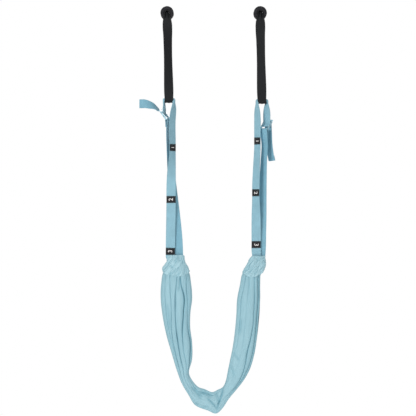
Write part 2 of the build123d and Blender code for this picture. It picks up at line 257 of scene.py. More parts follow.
def woven(name, rgb, pitches=(1.9 * MM, 1.35 * MM), contrast=0.35, sheen=0.05, rough=0.74, gloss=0.3):
    """Webbing: cords run along it, and each is crossed by short ribs, half a step out from its neighbour."""
    net = Net(name)
    cord_pitch, rib_pitch = pitches
    along, across = net.attribute("along"), net.attribute("across")
    stagger = (across / cord_pitch).floor() * 0.5
    rib = ((along / rib_pitch + stagger) * math.pi).sine().absolute()
    cord = ((across / cord_pitch) * math.pi).sine().absolute()
    weave = rib * cord
    place = net.place()
    worn = net.noise(place, 35.0, 4.0)
    fine = net.stretched_noise(place, (900.0, 900.0, 900.0), 2.0)
    edge = (across.absolute() / (sizes().webbing_width / 2)).clipped(0.88, 0.99)
    tone = weave * contrast + fine * 0.25 + worn * 0.5 - edge * 0.12
    base = net.mix(tone.clipped(0.05, 0.85), shade(rgb, 0.72), shade(rgb, 1.12))
    bump = net.bump(weave * 0.8 + fine * 0.4, 0.35 * MM, 0.7)
    return net.finish(
        base_color=base, roughness=worn * 0.16 + (rough - 0.08), normal=bump, specular_ior_level=gloss,
        sheen_weight=sheen, sheen_roughness=0.5,
    )


def cloth_finish():
    """Smooth knitted cloth: fine ribs along it, and painted shade that makes it deeper and richer in the
    folds and towards its edges.
    """
    net = Net("sling_cloth")
    along, across, fold_shade = net.attribute("along"), net.attribute("across"), net.attribute("fold_shade")
    place = net.place()
    broad = net.stretched_noise(place, (9.0, 9.0, 3.5), 3.0)
    streak = net.stretched_noise(place, (120.0, 120.0, 8.0), 3.0)
    rib = ((across / (1.5 * MM)) * math.pi).sine().absolute()
    course = ((along / (1.1 * MM)) * math.pi).sine().absolute()
    knit = rib * 0.7 + course * 0.3
    # Painted shade, darker in the folds, with random tone from the noise laid over it.
    painted_shade_and_tone = fold_shade + (broad - 0.5) * 0.5 + (streak - 0.5) * 0.35
    ground = net.mix(painted_shade_and_tone.clipped(0.0, 1.2), tuple(colours().cloth_deep), tuple(colours().cloth))
    base = net.mix(knit * 0.12, ground, shade(colours().cloth, 0.55))
    creases = net.stretched_noise(place, (60.0, 60.0, 14.0), 4.0, 0.6)
    fine = net.bump(knit, 0.12 * MM, 0.5)
    bump = net.bump(creases, 1.2 * MM, 0.5, over=fine)
    rough = 0.62 + broad * 0.2
    return net.finish(base_color=base, roughness=rough, normal=bump, sheen_weight=0.12, sheen_roughness=0.4)


def foam_finish():
    """Closed-cell foam: dark, with paler flecks and open pores."""
    net = Net("roller_foam")
    place = net.place()
    cells = net.add("ShaderNodeTexVoronoi", None, {"Vector": place, "Scale": 420.0}, out="Distance")
    fleck = net.noise(place, 330.0, 4.0, 0.65)
    patch = net.noise(place, 60.0, 3.0)
    tone = (fleck * 0.8 + patch * 0.4).clipped(0.42, 0.86)
    base = net.mix(tone, shade(colours().foam, 0.45), shade(colours().foam, 2.6))
    bump = net.bump(cells * 0.6 + fleck, 0.8 * MM, 0.8)
    return net.finish(base_color=base, roughness=patch * 0.15 + 0.8, normal=bump, specular_ior_level=0.25)


def moulded(name, rgb, rough, see_through=0.0):
    """Injection-moulded plastic with a faint pebble and rubbed high spots."""
    net = Net(name)
    place = net.place()
    pebble = net.noise(place, 900.0, 2.0)
    scuff = net.stretched_noise(place, (60.0, 60.0, 260.0), 4.0, 0.7)
    base = net.mix(scuff.clipped(0.3, 0.8), shade(rgb, 0.86), shade(rgb, 1.1))
    bump = net.bump(pebble + scuff * 0.5, 0.2 * MM, 0.3)
    return net.finish(
        base_color=base, roughness=scuff * 0.18 + (rough - 0.06), normal=bump,
        transmission_weight=see_through, coat_weight=0.15,
    )


def thread_finish(name, rgb):
    """Sewing thread, with a fine uneven twist."""
    net = Net(name)
    twist = net.noise(net.place(), 1500.0, 2.0)
    base = net.mix(twist, shade(rgb, 0.75), shade(rgb, 1.15))
    bump = net.bump(twist, 0.15 * MM, 0.6)
    return net.finish(base_color=base, roughness=0.7, normal=bump, sheen_weight=0.3)


MATERIALS = {}


def material(name):
    """Each finish is made once, when a piece first needs it."""
    if name not in MATERIALS:
        c = colours()
        makers = {
            "webbing": lambda: woven("light_webbing", tuple(c.webbing)),
            # Painted shade: a darker, richer copy of the light webbing, for the plies and loose ends that
            # hang in shade.
            "rear_webbing": lambda: woven("rear_webbing", shade(c.webbing, 0.80, 0.91, 0.95)),
            "strap": lambda: woven(
                "dark_webbing", tuple(c.strap), contrast=0.5, sheen=0.01, rough=0.66, gloss=0.16
            ),
            "label": lambda: woven("woven_tab", tuple(c.label), (0.5 * MM, 0.5 * MM), 0.3, 0.02, 0.6, 0.25),
            "cloth": cloth_finish,
            "foam": foam_finish,
            "core": lambda: moulded("core_tube", (0.012, 0.012, 0.013), 0.42),
            "buckle": lambda: moulded("buckle_plastic", tuple(c.buckle), 0.22, see_through=0.35),
            "pale_thread": lambda: thread_finish("pale_thread", shade(c.webbing, 1.25)),
            "dark_thread": lambda: thread_finish("dark_thread", shade(c.strap, 2.2)),
            "cloth_thread": lambda: thread_finish("cloth_thread", shade(c.cloth, 1.15)),
            "numeral": lambda: thread_finish("numeral_thread", tuple(c.numeral)),
        }
        MATERIALS[name] = makers[name]()
    return MATERIALS[name]


# ---- modelling helpers ------------------------------------------------------------------------------
def clear_selection():
    """Leaves edit mode, with nothing selected."""
    if bpy.context.object and bpy.context.object.mode != "OBJECT":
        bpy.ops.object.mode_set(mode="OBJECT")
    bpy.ops.object.select_all(action="DESELECT")


def take(piece):
    """Makes a piece the only selected and active one."""
    clear_selection()
    piece.select_set(True)
    bpy.context.view_layer.objects.active = piece
    return piece


def modified(piece, kind, **settings):
    """Adds a modifier and applies it."""
    take(piece)
    modifier = piece.modifiers.new(kind.title(), kind)
    for key, value in settings.items():
        setattr(modifier, key, value)
    bpy.ops.object.modifier_apply(modifier=modifier.name)
    return piece


def bevelled(piece, width, segments=2):
    """Rounds a piece's sharp edges."""
    limit = {"limit_method": "ANGLE", "angle_limit": math.radians(60)}
    return modified(piece, "BEVEL", width=width, segments=segments, **limit)


def smoothed(piece, degrees):
    """Shades a piece smooth, but for edges sharper than an angle."""
    take(piece)
    bpy.ops.object.shade_smooth_by_angle(angle=math.radians(degrees))
    return piece


def settle(piece):
    """Puts the object at the origin, unturned and unscaled, with its place in its mesh."""
    take(piece)
    bpy.ops.object.transform_apply(location=True, rotation=True, scale=True)
    return piece


def joined(name, parts):
    """Makes one named piece of several."""
    clear_selection()
    for part in parts:
        part.select_set(True)
    bpy.context.view_layer.objects.active = parts[0]
    if len(parts) > 1:
        bpy.ops.object.join()
    piece = bpy.context.view_layer.objects.active
    piece.name = piece.data.name = name
    return piece


def dressed(piece, finish):
    """Gives a piece one finish all over."""
    piece.data.materials.clear()
    piece.data.materials.append(material(finish))


def finished(piece, finish, body, slot, *stands_for):
    """The last steps for a piece: its finish, body and the CAD nodes that it stands for. slot is not used.

    A piece that bends between two bodies has no body of its own here.
    """
    dressed(piece, finish)
    if body:
        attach(piece, body)
    if stands_for:
        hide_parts(*stands_for)
    return piece


def smooth_rows(rows, count):
    """Rows of numbers, the first three a place, drawn into a smooth line of count rows, evenly spaced."""
    rows = np.array(rows, float)
    at = np.concatenate([[0], np.cumsum(np.linalg.norm(np.diff(rows[:, :3], axis=0), axis=1))])
    slope = np.gradient(rows, at, axis=0)

    def value(s):
        i = np.clip(np.searchsorted(at, s, side="right") - 1, 0, len(at) - 2)
        run = (at[i + 1] - at[i])[:, None]
        k = (s - at[i])[:, None] / run
        return (
            (1 + 2 * k) * (1 - k) ** 2 * rows[i] + k * (1 - k) ** 2 * run * slope[i]
            + k**2 * (3 - 2 * k) * rows[i + 1] + k**2 * (k - 1) * run * slope[i + 1]
        )

    fine_at = np.linspace(0, at[-1], 24 * len(rows))
    fine = value(fine_at)
    run = np.concatenate([[0], np.cumsum(np.linalg.norm(np.diff(fine[:, :3], axis=0), axis=1))])
    return value(np.interp(np.linspace(0, run[-1], count), run, fine_at)), run[-1]


def grid(name, rows, columns):
    """A flat grid whose vertex (i, j) is number i * columns + j."""
    clear_selection()
    bpy.ops.mesh.primitive_grid_add(x_subdivisions=columns - 1, y_subdivisions=rows - 1, size=1)
    piece = bpy.context.object
    piece.name = piece.data.name = name
    return piece


def from_points(name, points, faces):
    """A new piece, from its points and the point numbers of its faces."""
    mesh = bpy.data.meshes.new(name)
    mesh.from_pydata([tuple(point) for point in points], [], faces)
    piece = bpy.data.objects.new(name, mesh)
    bpy.context.scene.collection.objects.link(piece)
    return piece


def set_places(piece, places):
    """Moves a piece's points to their places."""
    piece.data.vertices.foreach_set("co", np.asarray(places, np.float32).reshape(-1))
    piece.data.update()


def set_attribute(piece, name, values):
    """Stores a number on each of a piece's points, for a finish to read."""
    attribute = piece.data.attributes.new(name, "FLOAT", "POINT")
    attribute.data.foreach_set("value", np.asarray(values, np.float32).reshape(-1))


def edit_all(piece):
    """Opens a piece in edit mode with everything selected."""
    take(piece)
    bpy.ops.object.mode_set(mode="EDIT")
    bpy.ops.mesh.select_all(action="SELECT")


def outwards(piece):
    """Turns all of a piece's faces outwards."""
    edit_all(piece)
    bpy.ops.mesh.normals_make_consistent(inside=False)
    bpy.ops.object.mode_set(mode="OBJECT")
    return piece


def lay_out(piece, along, across):
    """Stores each point's run along and across the cloth or webbing, which the weave is drawn on."""
    set_attribute(piece, "along", along)
    set_attribute(piece, "across", across)


PLEATS = 2.0  # side by side in gathered webbing
PLEAT_DEEPEST = 6 * MM
PLEAT_ONSET = 0.35  # pleats have their full depth once the width is squeezed by this share
TIGHTEST_SQUEEZE = 0.2  # the least share of its flat width


class Ribbon:
    """Webbing that follows stations (x, y, z, turn, roll, squeeze), in millimetres and degrees.

    turn and roll aim its width: turned about Z, then rolled up out of the level. squeeze is its gathered
    width as a share of its flat width, with the rest taken up in pleats.
    """

    def __init__(self, stations, count):
        rows, self.run = smooth_rows(stations, count)
        self.run *= MM
        self.at = rows[:, :3] * MM
        self.width = sizes().webbing_width
        self.squeeze = np.clip(rows[:, 5], TIGHTEST_SQUEEZE, 1.0)
        tangent = np.gradient(self.at, axis=0)
        tangent /= np.linalg.norm(tangent, axis=1)[:, None]
        turn, roll = np.radians(rows[:, 3]), np.radians(rows[:, 4])
        across = np.stack([np.cos(turn) * np.cos(roll), np.sin(turn) * np.cos(roll), np.sin(roll)], axis=1)
        across -= (across * tangent).sum(1)[:, None] * tangent
        self.across = across / np.linalg.norm(across, axis=1)[:, None]
        self.normal = np.cross(tangent, self.across)

    def places(self, side_share, lift=0.0):
        """Points across the webbing at shares from -0.5 to 0.5 of its width, lifted off its middle."""
        v = np.asarray(side_share, float)[None, :]
        squeeze = self.squeeze[:, None]
        depth = self.width * squeeze / (2 * np.pi * PLEATS) * np.sqrt(2 * (1 / squeeze**2 - 1))
        depth = np.minimum(depth, PLEAT_DEEPEST) * np.clip((1 - squeeze) / PLEAT_ONSET, 0, 1)
        out = depth * np.cos(2 * np.pi * PLEATS * v) + lift
        sideways = v * self.width * squeeze
        return (
            self.at[:, None, :] + self.across[:, None, :] * sideways[..., None]
            + self.normal[:, None, :] * out[..., None]
        )

    def mesh(self, name, thickness, columns=25):
        rows = len(self.at)
        share = np.linspace(-0.5, 0.5, columns)
        piece = grid(name, rows, columns)
        set_places(piece, self.places(share))
        lay_out(piece, np.repeat(np.linspace(0, self.run, rows), columns), np.tile(share * self.width, rows))
        modified(piece, "SOLIDIFY", thickness=thickness, offset=0.0, use_even_offset=False)
        outwards(piece)
        bevelled(piece, thickness * 0.3)
        return smoothed(piece, 50.0)


STITCH_PITCH = 1.25  # stitch to stitch, in stitch lengths
STITCH_BOW = np.array([-0.3, 0.55, 0.55, -0.3])[:, None]  # along a stitch, in half thread widths
STITCH_SWELL = np.array([0.55, 1.0, 1.0, 0.55])[:, None]


def stitch_row(name, places, normals, step=None):
    """Stitches laid along a line of points: short, slightly bowed threads with gaps between them."""
    places, normals = np.asarray(places, float), np.asarray(normals, float)
    run = np.concatenate([[0], np.cumsum(np.linalg.norm(np.diff(places, axis=0), axis=1))])
    count = max(2, int(run[-1] / ((step or sizes().stitch_length) * STITCH_PITCH)))
    verts, faces = [], []
    half = sizes().thread_width / 2
    ring = 5
    bow, thick = STITCH_BOW * half, STITCH_SWELL * half
    for n in range(count):
        s = np.linspace((n + 0.1) / count, (n + 0.9) / count, 4) * run[-1]
        line = np.stack([np.interp(s, run, places[:, k]) for k in range(3)], axis=1)
        up = np.stack([np.interp(s, run, normals[:, k]) for k in range(3)], axis=1)
        up /= np.linalg.norm(up, axis=1)[:, None]
        along = line[-1] - line[0]
        along /= np.linalg.norm(along)
        side = np.cross(along, up)
        first = len(verts)
        for k in range(4):
            for m in range(ring):
                a = 2 * math.pi * m / ring
                out = (side[k] * math.cos(a) + up[k] * math.sin(a)) * thick[k]
                verts.append(line[k] + up[k] * bow[k] + out)
        for k in range(3):
            for m in range(ring):
                a, b = first + k * ring + m, first + k * ring + (m + 1) % ring
                faces.append((a, b, b + ring, a + ring))
        faces.append(tuple(first + m for m in reversed(range(ring))))
        faces.append(tuple(first + 3 * ring + m for m in range(ring)))
    return smoothed(outwards(from_points(name, verts, faces)), 60.0)


def stitching(name, seams, finish, body, slot, step=None):
    """One piece of thread from several seams, each a line of points and its normals."""
    threads = [stitch_row(f"{name}_row", *seam, step=step) for seam in seams]
    return finished(joined(name, threads), finish, body, slot)


SEAM_SPREAD = 0.42  # how far a seam runs to each side of the middle, as a share of the width


def seam_lift(thickness):
    """From a ribbon's middle to just clear of its face."""
    return thickness / 2 + 0.1 * MM


def seam_across(ribbon, row, thickness, front=True, spread=SEAM_SPREAD):
    """A line of points across a ribbon, on its front or back face, with the face's normals."""
    facing = 1 if front else -1
    share = np.linspace(-spread, spread, 12)
    places = ribbon.places(share, seam_lift(thickness) * facing)[row]
    return places, np.repeat(ribbon.normal[row][None, :] * facing, len(share), axis=0)


def back_seam(ribbon, rows, shares, thickness):
    """A line of points down a ribbon's back face, at a share of its width on each row, with its normals."""
    lift = -seam_lift(thickness)
    places = np.array([ribbon.places([share], lift)[row, 0] for row, share in zip(rows, shares)])
    return places, -ribbon.normal[rows]


def nearest_row(ribbon, z, among=None):
    """The row of a ribbon that lies nearest a height, in millimetres, of all its rows or of some."""
    rows = np.arange(len(ribbon.at)) if among is None else np.arange(*among)
    return int(rows[np.argmin(np.abs(ribbon.at[rows, 2] - z * MM))])


# ---- where the webbing runs -------------------------------------------------------------------------
# Each drop of light webbing. Places along X are offsets from the drop's own link, in millimetres.
# labels are x, y, turn and z of each tab, from the top. between and rear are x, y and turn of the plies
# between the tabs and behind them, and rear_share is how far down the rear ply each of those rows lies.
# hem_end and rear_end are x, y, turn and squeeze where a ply ends in the hem. blend is where the front
# ply stops moving with the legs, and where it starts to move with the loop.
DROPS = {
    "left": {
        "leg_turn": 70.0,
        "crown_up": 6.0,
        "buckle_drop": 56.0,
        "hem_end": (6.5, -2.0, 0.0, 0.8),
        "labels": [(14.5, -4.0, 50.0, -549.0), (8.5, -8.0, 0.0, -761.0), (6.0, -4.0, 0.0, -973.0)],
        "between": [(10.2, -9.5, 25.0), (7.3, -6.0, 0.0)],
        "rear": [
            (-5.5, 4.0, 74.0), (-0.5, 6.0, 62.0), (5.5, 8.0, 48.0), (12.0, 9.0, 32.0),
            (19.5, 7.0, 20.0), (27.5, 5.0, 9.0), (36.5, 3.5, 0.0),
        ],
        "rear_share": (0.10, 0.19, 0.30, 0.43, 0.55, 0.67, 0.83),
        "rear_end": (39.0, 2.0, 0.0, 0.8),
        "rear_seams": (-895.0, -919.0),
        "blend": (-375.0, -402.0),
        "numeral_up": -1,
    },
    "right": {
        "leg_turn": -45.0,
        "crown_up": 2.0,
        "buckle_drop": 97.2,
        "hem_end": (-21.5, -2.0, 0.0, 0.8),
        "labels": [(-18.5, -4.0, -50.0, -522.0), (-24.7, -7.0, -40.0, -734.0), (-23.5, -4.5, 0.0, -946.0)],
        "between": [(-22.0, -6.0, -45.0), (-24.0, -6.4, -18.0)],
        "rear": [
            (11.0, -4.0, -50.0), (8.0, 2.0, -50.0), (4.8, 5.0, -42.0), (2.5, 6.0, -32.0),
            (0.5, 5.0, -18.0), (-1.5, 4.0, -7.0), (-2.3, 3.5, 0.0),
        ],
        "rear_share": (0.11, 0.23, 0.38, 0.51, 0.65, 0.76, 0.85),
        "rear_end": (-5.0, 2.0, 0.0, 0.8),
        "rear_seams": (-700.0, -725.0),
        "blend": (-375.0, -435.0),
        "numeral_up": 1,
    },
}
PLY_TOP_DROP = 67.4  # link to the top of the front ply
LEG_OFFSET = 19.8  # link to each leg, along X
LABEL_HALF = 14.5
LABEL_FLAT = LABEL_HALF + 8.0  # the ply lies flat this far above and below each label's middle
PLY_END_Z = -1030.0
CROWN_SQUEEZE = 0.38
STRAP_TURN = 34.0  # how far each strap is turned about Z at its middle
STRAP_TOP_GAP = 38.6  # from the strap's middle plane to each ply, up at the roller
STRAP_CLOSING = 26.9  # and how much nearer they are at the link
STRAP_FOOT_SQUEEZE = 0.9
STRAP_FOOT_DROP = 8.6  # link to the strap's middle, under it
STRAP_OVERLAP = (-124.0, -194.0)  # the first and last seam of the strap's sewn joint
BUCKLE_BAR_STEP = (10.4, 13.45)  # from one buckle bar to the next: out of the webbing's face, and up


def link_mm(side):
    return LINK[side].x / MM, LINK[side].z / MM


def buckle_point(side, out, up):
    """A point by its place in the buckle: out is towards the loop's inside, up from the middle bar."""
    drop = DROPS[side]
    x0, z0 = link_mm(side)
    r = math.radians(drop["leg_turn"] + SIDES[side] * 180)
    x, y = x0 + SIDES[side] * LEG_OFFSET - math.sin(r) * out, math.cos(r) * out
    return x, y, z0 - drop["buckle_drop"] + up


def loop_stations(side):
    """From the hem up the front ply, over the crown and down the outer leg into the buckle."""
    drop, sign = DROPS[side], SIDES[side]
    x0, z0 = link_mm(side)
    upright = sign * -90.0
    x, y, turn, squeeze = drop["hem_end"]
    rows = [(x0 + x, y, PLY_END_Z, turn, 0, squeeze), (x0 + x, y, PLY_END_Z + 28, turn, 0, squeeze + 0.1)]
    for number in (2, 1, 0):
        x, y, turn, z = drop["labels"][number]
        rows += [(x0 + x, y, z - LABEL_FLAT, turn, 0, 1), (x0 + x, y, z + LABEL_FLAT, turn, 0, 1)]
        if number:
            x, y, turn = drop["between"][number - 1]
            rows.append((x0 + x, y, (z + drop["labels"][number - 1][3]) / 2, turn, 0, 1))
    x, y, turn, _ = drop["labels"][0]
    rows.append((x0 + x, y, z0 - PLY_TOP_DROP, turn, 0, 1))
    inner, outer = x0 - sign * LEG_OFFSET, x0 + sign * LEG_OFFSET
    top = z0 + drop["crown_up"]

    def between(ply_turn, share):
        return ply_turn * (1 - share) + upright * share

    rows += [
        ((inner + x0 + x) / 2, y / 2, z0 - 44, between(turn, 0.1), 0, 1),
        (inner - sign * 0.6, 0, top - 24, between(turn, 0.3), 0, 0.9),
        (inner - sign * 1.2, 0, top - 7, between(turn, 0.6), 0, 0.74),
        (inner + sign * 0.4, 0, top + 6, upright, 0, 0.52),
        (inner + sign * 5.5, 0, top + 2, upright, 0, 0.42),
        (x0, 0, top - 1.5, upright, 0, CROWN_SQUEEZE),
        (outer - sign * 5.5, 0, top + 2, upright, 0, 0.42),
        (outer - sign * 0.4, 0, top + 6, upright, 0, 0.52),
        (outer + sign * 1.2, 0, top - 7, between(drop["leg_turn"], 0.55), 0, 0.74),
        (outer, 0, top - 24, between(drop["leg_turn"], 0.2), 0, 0.9),
        (outer, 0, z0 - 42, drop["leg_turn"], 0, 1),
    ]
    for out, up in ((0.0, 8.0), (0.2, 2.0), (2.4, -2.6), (5.4, -3.2), (8.2, -0.4), (7.2, 3.0)):
        rows.append((*buckle_point(side, out, up), drop["leg_turn"], 0, 1))
    return rows


def rear_stations(side):
    """From the sewn end behind the buckle's foot bar, round the bar and down the rear ply to the hem."""
    drop = DROPS[side]
    out, up = 1.5 * BUCKLE_BAR_STEP[0], -BUCKLE_BAR_STEP[1]
    rows = []
    for a, b in ((-2.0, -34.0), (-2.8, -14.0), (-2.9, 0.0), (0.0, 2.9), (2.9, 0.0), (2.6, -12.0)):
        rows.append((*buckle_point(side, out + a, up + b), drop["leg_turn"], 0, 1))
    x0, _ = link_mm(side)
    top, foot = buckle_point(side, out, up)[2], HEM[side].z / MM
    for share, (x, y, turn) in zip(drop["rear_share"], drop["rear"]):
        rows.append((x0 + x, y, top + share * (foot - top), turn, 0, 1))
    x, y, turn, squeeze = drop["rear_end"]
    rows += [(x0 + x, y, PLY_END_Z + 25, turn, 0, 0.95), (x0 + x, y, PLY_END_Z, turn, 0, squeeze)]
    return rows


def strap_stations(side):
    """From the rear ply's inner end down, round the foot, up the front, through the bore and down again."""
    x0, (x1, z1) = ANCHOR[side].x / MM, link_mm(side)

    def at(y, z, squeeze, turn=0.0, roll=0.0):
        return x0 + (x1 - x0) * z / z1, y, z, turn, roll, squeeze

    def before(y, z, squeeze, turn=0.0):
        """A station before the bore, half a turn round from those after it."""
        return at(y, z, squeeze, turn, -180.0)

    def ply(z):
        return STRAP_TOP_GAP - STRAP_CLOSING * (z + 4) / (z1 + 4)

    def turn(z):
        """The strap hangs a little turned, most of all at its middle."""
        return -SIDES[side] * STRAP_TURN * math.sin(math.pi * min(1.0, z / (z1 + 22)))

    foot = z1 + DROPS[side]["crown_up"] - STRAP_FOOT_DROP
    tight = STRAP_FOOT_SQUEEZE
    half = [(12.8, 31, 0.97), (12.4, 18, 0.93), (11.0, 7.4, tight), (6.8, 2.1, tight)]
    rows = [before(ply(z), z, 1, turn(z)) for z in (-112, -150, -200, -255, -305)]
    rows += [before(y, foot + up, q) for y, up, q in half] + [before(0, foot, tight)]
    rows += [before(-y, foot + up, q) for y, up, q in reversed(half)]
    rows += [before(-ply(z), z, 1, turn(z)) for z in (-305, -250, -190, -130, -80)]
    rows += [before(-37.0, -48, 1), before(-38.0, -27, 0.86), before(-38.8, -12, 0.56)]
    rows += [before(-38.0, -4, 0.42), before(-34.5, -0.5, 0.4)]
    rows += [at(y, 0, 0.42, roll=roll) for y, roll in ((-22, -150), (-8, -108), (8, -72), (22, -30))]
    rows += [at(34.5, -0.5, 0.4)]
    rows += [at(38.0, -4, 0.42), at(38.8, -12, 0.56), at(38.2, -27, 0.86), at(37.6, -48, 1)]
    rows += [at(ply(z) + 2.5, z, 1, turn(z)) for z in (-100, -130, -165, -200)]
    return rows


# Each loose end beyond the buckle: x, y, z from its top bar, turn, roll.
TAIL_ROWS = {
    "left": [
        (-14.3, 5.0, 5.7, 70, 0), (-26.8, 6.7, 16.7, 80, 20), (-40.8, 6.7, 25.7, 90, 42),
        (-57.8, 6.7, 31.7, 90, 58), (-76.8, 6.7, 36.2, 90, 70), (-96.8, 6.7, 36.2, 90, 70),
    ],
    "right": [
        (4.0, 4.8, -43.6, -46, 0), (6.5, 8.3, -88.6, -48, 0), (12.0, 11.3, -128.6, -50, 0),
        (13.5, 11.8, -136.6, -50, 0), (17.5, 13.3, -156.6, -50, 0),
    ],
}


def tail_stations(side):
    """Round the buckle's top bar and out to the webbing's loose end."""
    turn = DROPS[side]["leg_turn"]
    out, up = -BUCKLE_BAR_STEP[0] / 2, BUCKLE_BAR_STEP[1]
    if side == "left":
        start = ((1.5, -5.5), (2.9, -1.0), (1.6, 2.6), (-2.0, 3.2))
    else:
        start = ((2.9, -5.0), (2.7, 0.5), (0.0, 2.9), (-2.7, 0.5), (-3.0, -6.0))
    rows = [(*buckle_point(side, out + a, up + b), turn, 0, 1) for a, b in start]
    return rows + tail_end_stations(side)


def tail_end_stations(side):
    """The loose end beyond the buckle, without its turn round the bar."""
    x0, y0, z0 = buckle_point(side, -BUCKLE_BAR_STEP[0] / 2, BUCKLE_BAR_STEP[1])
    return [(x0 + x, y0 + y, z0 + z, turn, roll, 1) for x, y, z, turn, roll in TAIL_ROWS[side]]


def fold_stations(side):
    """The last flat stretch of the loose end again, one thickness further out."""
    rows = [np.array(row) for row in tail_end_stations(side)[-2:]]
    turn, roll = math.radians(rows[0][3]), math.radians(rows[0][4])
    if side == "left":
        out = np.array((0, math.sin(roll), -math.cos(roll)))
    else:
        out = np.array((-math.sin(turn), math.cos(turn), 0))
    for row in rows:
        row[:3] += out * (sizes().webbing_thickness / MM + 0.1)
    return [rows[0], (rows[0] + rows[1]) / 2, rows[1]]


# ---- operators: one for each group of like pieces ---------------------------------------------------
FLOOR_RADIUS = 3.5
FLOOR_DROP = 0.35  # from the sling's lowest point to the floor
CAMERA_TARGET = Vector((-0.0230, 0.0, -0.7960))
CAMERA_DISTANCE = 9.0
FRAME_WIDTH = 1.7014  # how much the camera takes in, across its target
SENSOR_WIDTH = 36.0
WORLD_LIGHT = 0.36
PAPER = 1.0  # the background's strength as the camera sees it
LAMPS = {  # place from the model's middle, size, watts
    "key": ((-1.5, -2.4, 1.3), 1.1, 58),
    "fill": ((2.2, -2.2, -0.1), 2.0, 22),
    "back": ((0.8, 2.4, 0.9), 1.6, 40),
}


class MakesPieces:
    """What all these operators share."""

    bl_options = {"REGISTER", "UNDO"}

    def execute(self, context):
        self.make()
        return {"FINISHED"}


class SLING_OT_stage(MakesPieces, bpy.types.Operator):
    """Sets the pale floor, the soft studio light and the camera"""

    bl_idname = "sling.stage"
    bl_label = "Stage"

    def make(self):
        low, high = (Vector(corner) for corner in CAD_BOX)
        self.floor(low.z - FLOOR_DROP)
        self.camera()
        self.lamps((low + high) / 2)
        self.world()
        bpy.context.scene.view_settings.view_transform = "Standard"

    def floor(self, height):
        clear_selection()
        bpy.ops.mesh.primitive_circle_add(
            vertices=128, radius=FLOOR_RADIUS, fill_type="NGON", location=(0, 0, height)
        )
        floor = settle(bpy.context.object)
        floor.name = "studio_floor"
        net = Net("studio_floor")
        tone = net.noise(net.place(), 3.0)
        floor.data.materials.append(
            net.finish(
                base_color=net.mix(tone, (0.9, 0.9, 0.9), (0.93, 0.93, 0.93)), roughness=0.8,
                emission_color=(1, 1, 1), emission_strength=0.3,
            )
        )

    def camera(self):
        """Level with the sling's middle and far off, so that it sees the sling nearly square on."""
        data = bpy.data.cameras.new("camera")
        data.sensor_width = SENSOR_WIDTH
        data.lens = SENSOR_WIDTH * CAMERA_DISTANCE / FRAME_WIDTH
        camera = bpy.data.objects.new("camera", data)
        bpy.context.scene.collection.objects.link(camera)
        camera.location = CAMERA_TARGET + Vector((0, -CAMERA_DISTANCE, 0))
        camera.rotation_euler = (math.radians(90), 0, 0)
        bpy.context.scene.camera = camera

    def lamps(self, centre):
        for name, (place, size, watts) in LAMPS.items():
            data = bpy.data.lights.new(name, "AREA")
            data.size, data.energy = size, watts
            lamp = bpy.data.objects.new(name, data)
            lamp.location = centre + Vector(place)
            lamp.rotation_euler = (centre - lamp.location).to_track_quat("-Z", "Y").to_euler()
            bpy.context.scene.collection.objects.link(lamp)

    def world(self):
        """White paper to the camera, and a dimmer room to everything that it lights."""
        world = bpy.data.worlds.new("studio")
        world.use_nodes = True
        tree = world.node_tree
        paper, room = tree.nodes["Background"], tree.nodes.new("ShaderNodeBackground")
        for background, strength in ((paper, PAPER), (room, WORLD_LIGHT)):
            background.inputs["Color"].default_value = (1, 1, 1, 1)
            background.inputs["Strength"].default_value = strength
        path, mixer = tree.nodes.new("ShaderNodeLightPath"), tree.nodes.new("ShaderNodeMixShader")
        tree.links.new(path.outputs["Is Camera Ray"], mixer.inputs[0])
        tree.links.new(room.outputs[0], mixer.inputs[1])
        tree.links.new(paper.outputs[0], mixer.inputs[2])
        tree.links.new(mixer.outputs[0], tree.nodes["World Output"].inputs[0])
        bpy.context.scene.world = world


FOAM_EDGE = 5.5 * MM  # radius of the foam's rounded rims
FOAM_RIM = 6 * MM  # the ring of each end face that takes that rounding
FOAM_GRIP = 0.1 * MM  # how far the foam closes onto the core
FOAM_WEAR = 0.5 * MM


